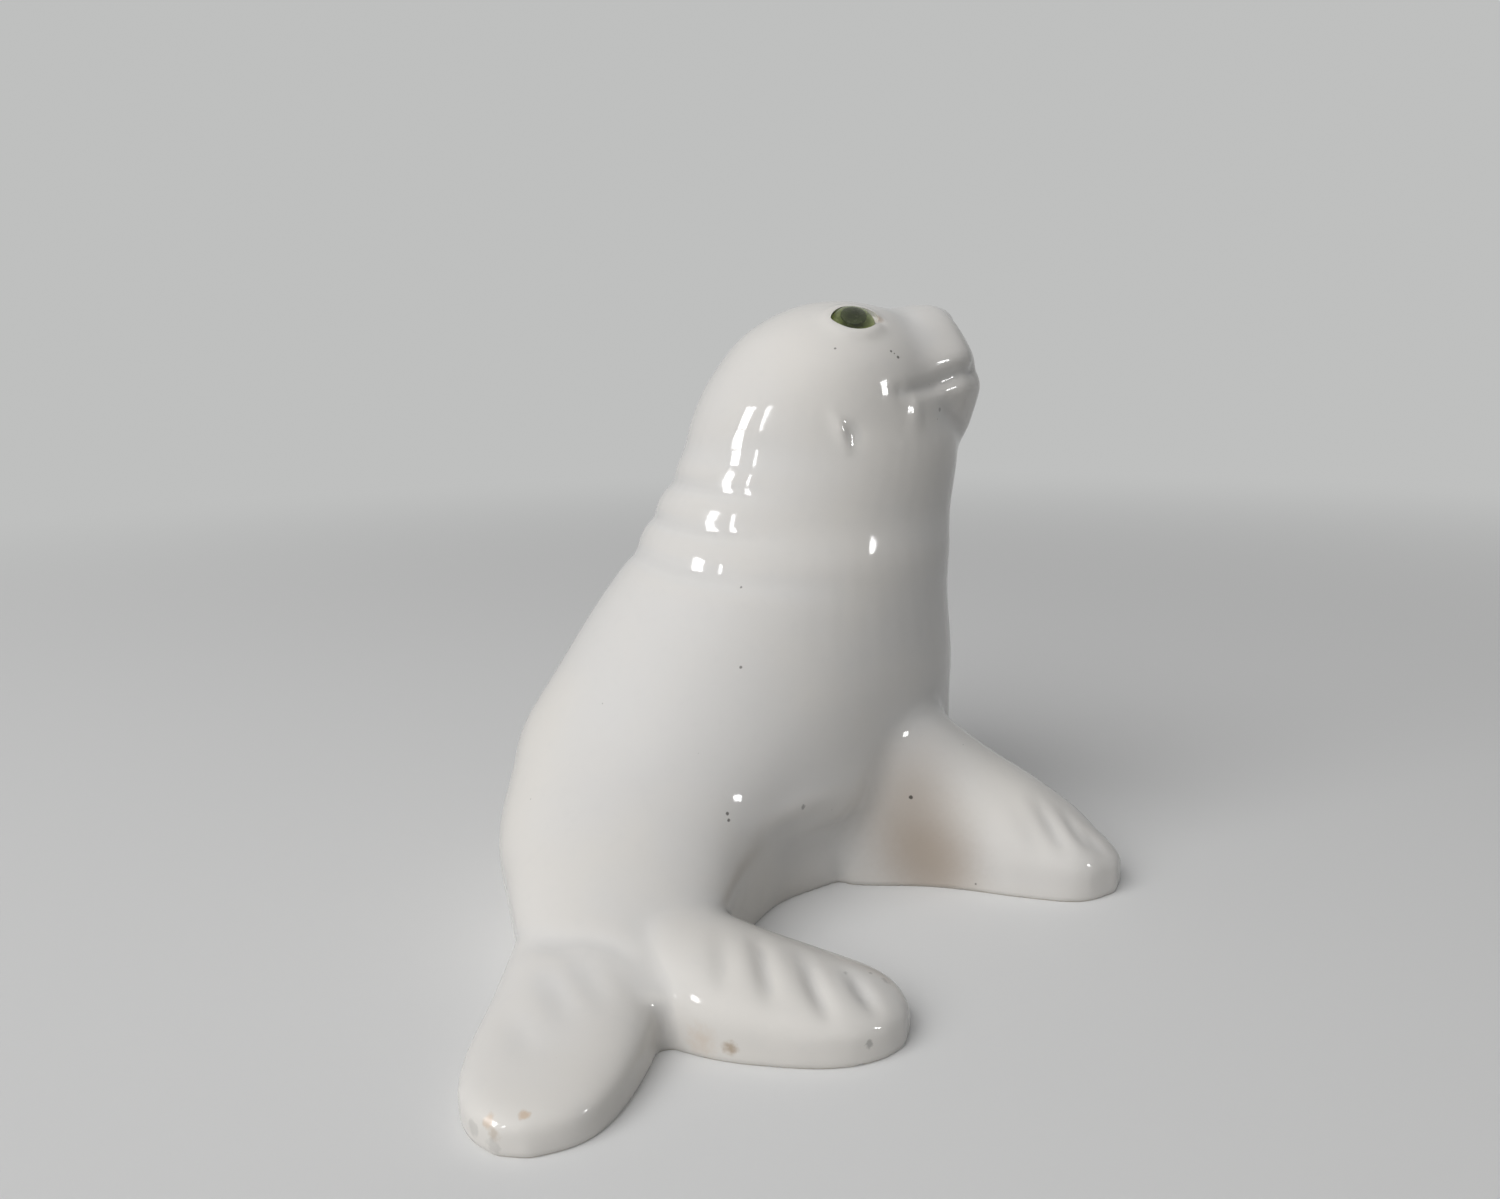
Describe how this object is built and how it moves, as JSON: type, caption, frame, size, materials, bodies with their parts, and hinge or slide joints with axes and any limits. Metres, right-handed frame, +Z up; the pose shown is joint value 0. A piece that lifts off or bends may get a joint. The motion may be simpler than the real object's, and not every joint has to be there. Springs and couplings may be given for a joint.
{
  "type": "ceramic seal figurine",
  "caption": "Glossy white glazed ceramic seal, head raised and tail curled round, with green glass eyes; stands on its flat underside.",
  "frame": {"origin": "on the flat underside, below the middle of the chest", "axes": "+Z up, the head faces -Y, the seal's own right side is towards -X"},
  "size_m": [0.2224, 0.1861, 0.1606],
  "materials": {
    "white_glaze": "glossy warm white glaze over a slip cast body",
    "green_glass": "polished dark olive green glass"
  },
  "bodies": {
    "root": {"seal_body": "white_glaze", "left_eye": "green_glass", "right_eye": "green_glass"}
  },
  "joints": []
}
